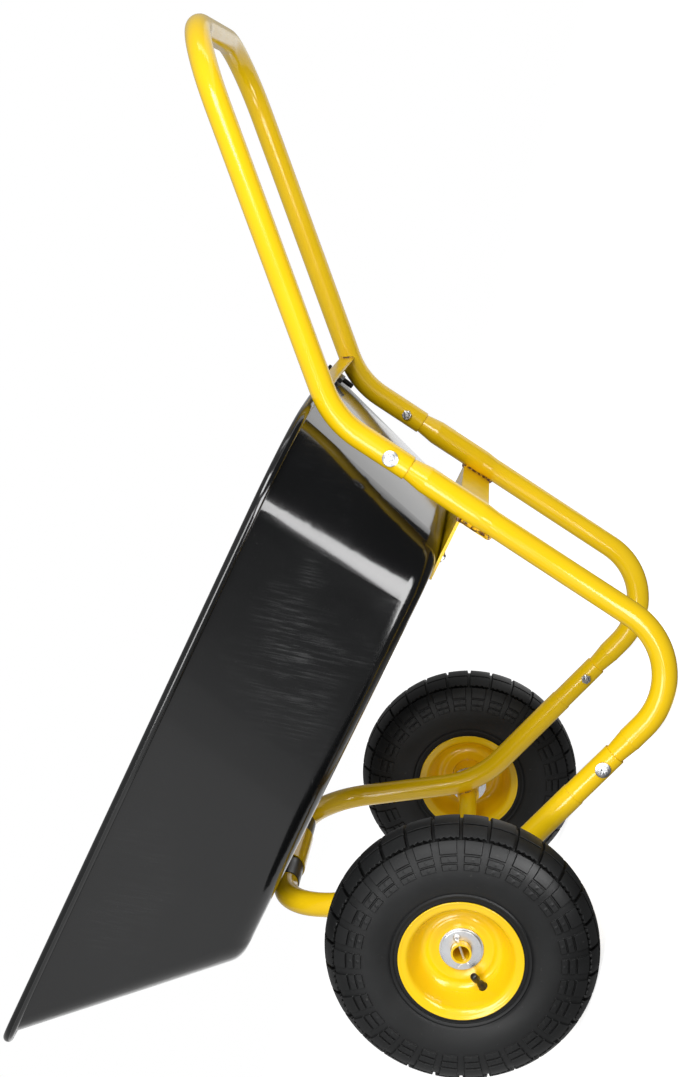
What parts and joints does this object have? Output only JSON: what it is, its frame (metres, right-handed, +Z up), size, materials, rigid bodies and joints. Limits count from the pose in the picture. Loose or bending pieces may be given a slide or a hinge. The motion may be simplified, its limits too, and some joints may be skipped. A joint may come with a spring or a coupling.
{
  "type": "two-wheel garden cart",
  "caption": "Two-wheel garden cart with a tipping pressed-steel tray, a bent-tube frame with a loop handle, and pneumatic tyres on a through axle.",
  "frame": {"origin": "middle of the footprint box of the whole cart, on the ground", "axes": "+Z up; +X back towards the handle, -X towards the tray's nose; -Y the left side of a person pushing; the cart stands on its two wheels and the two leg bends"},
  "size_m": [1.0162, 0.5666, 0.6365],
  "materials": {
    "yellow_paint": "gloss powder coat",
    "black_paint": "gloss paint",
    "tyre_rubber": "satin",
    "tube_rubber": "matt",
    "black_rubber": "satin",
    "zinc": "bright zinc plate",
    "black_zinc": "black zinc"
  },
  "bodies": {
    "cart_frame": {"axle": "yellow_paint", "cross_bracket": "yellow_paint", "cross_bracket_bolts": "zinc", "cross_bracket_nuts": "zinc", "front_frame": "yellow_paint", "front_saddle": "yellow_paint", "handle_tube": "yellow_paint", "joint_bolts": "zinc", "joint_nuts": "zinc", "joint_washers": "zinc", "left_axle_pin": "zinc", "left_axle_spacer": "yellow_paint", "left_axle_washer": "zinc", "left_inner_washer": "zinc", "left_leg": "yellow_paint", "right_axle_pin": "zinc", "right_axle_spacer": "yellow_paint", "right_axle_washer": "zinc", "right_inner_washer": "zinc", "right_leg": "yellow_paint", "rim_bolts": "black_zinc", "rim_bracket": "yellow_paint", "rim_nuts": "zinc", "rubber_sleeve": "black_rubber", "saddle_bolts": "zinc", "saddle_nuts": "zinc", "tray": "black_paint"},
    "left_wheel": {"left_tyre": "tyre_rubber", "left_inner_tube": "tube_rubber", "left_outer_rim": "yellow_paint", "left_inner_rim": "yellow_paint", "left_hub_tube": "yellow_paint", "left_outer_bearing": "zinc", "left_inner_bearing": "zinc", "left_valve_stem": "black_rubber", "left_valve_cap": "black_rubber"},
    "right_wheel": {"right_tyre": "tyre_rubber", "right_inner_tube": "tube_rubber", "right_outer_rim": "yellow_paint", "right_inner_rim": "yellow_paint", "right_hub_tube": "yellow_paint", "right_outer_bearing": "zinc", "right_inner_bearing": "zinc", "right_valve_stem": "black_rubber", "right_valve_cap": "black_rubber"}
  },
  "joints": [
    {"name": "left_wheel_spin", "type": "hinge", "parent": "cart_frame", "child": "left_wheel", "pos_m": [-0.26452, -0.2447, 0.132], "axis": [0, 1, 0], "continuous": true},
    {"name": "right_wheel_spin", "type": "hinge", "parent": "cart_frame", "child": "right_wheel", "pos_m": [-0.26452, 0.2447, 0.132], "axis": [0, 1, 0], "continuous": true}
  ]
}
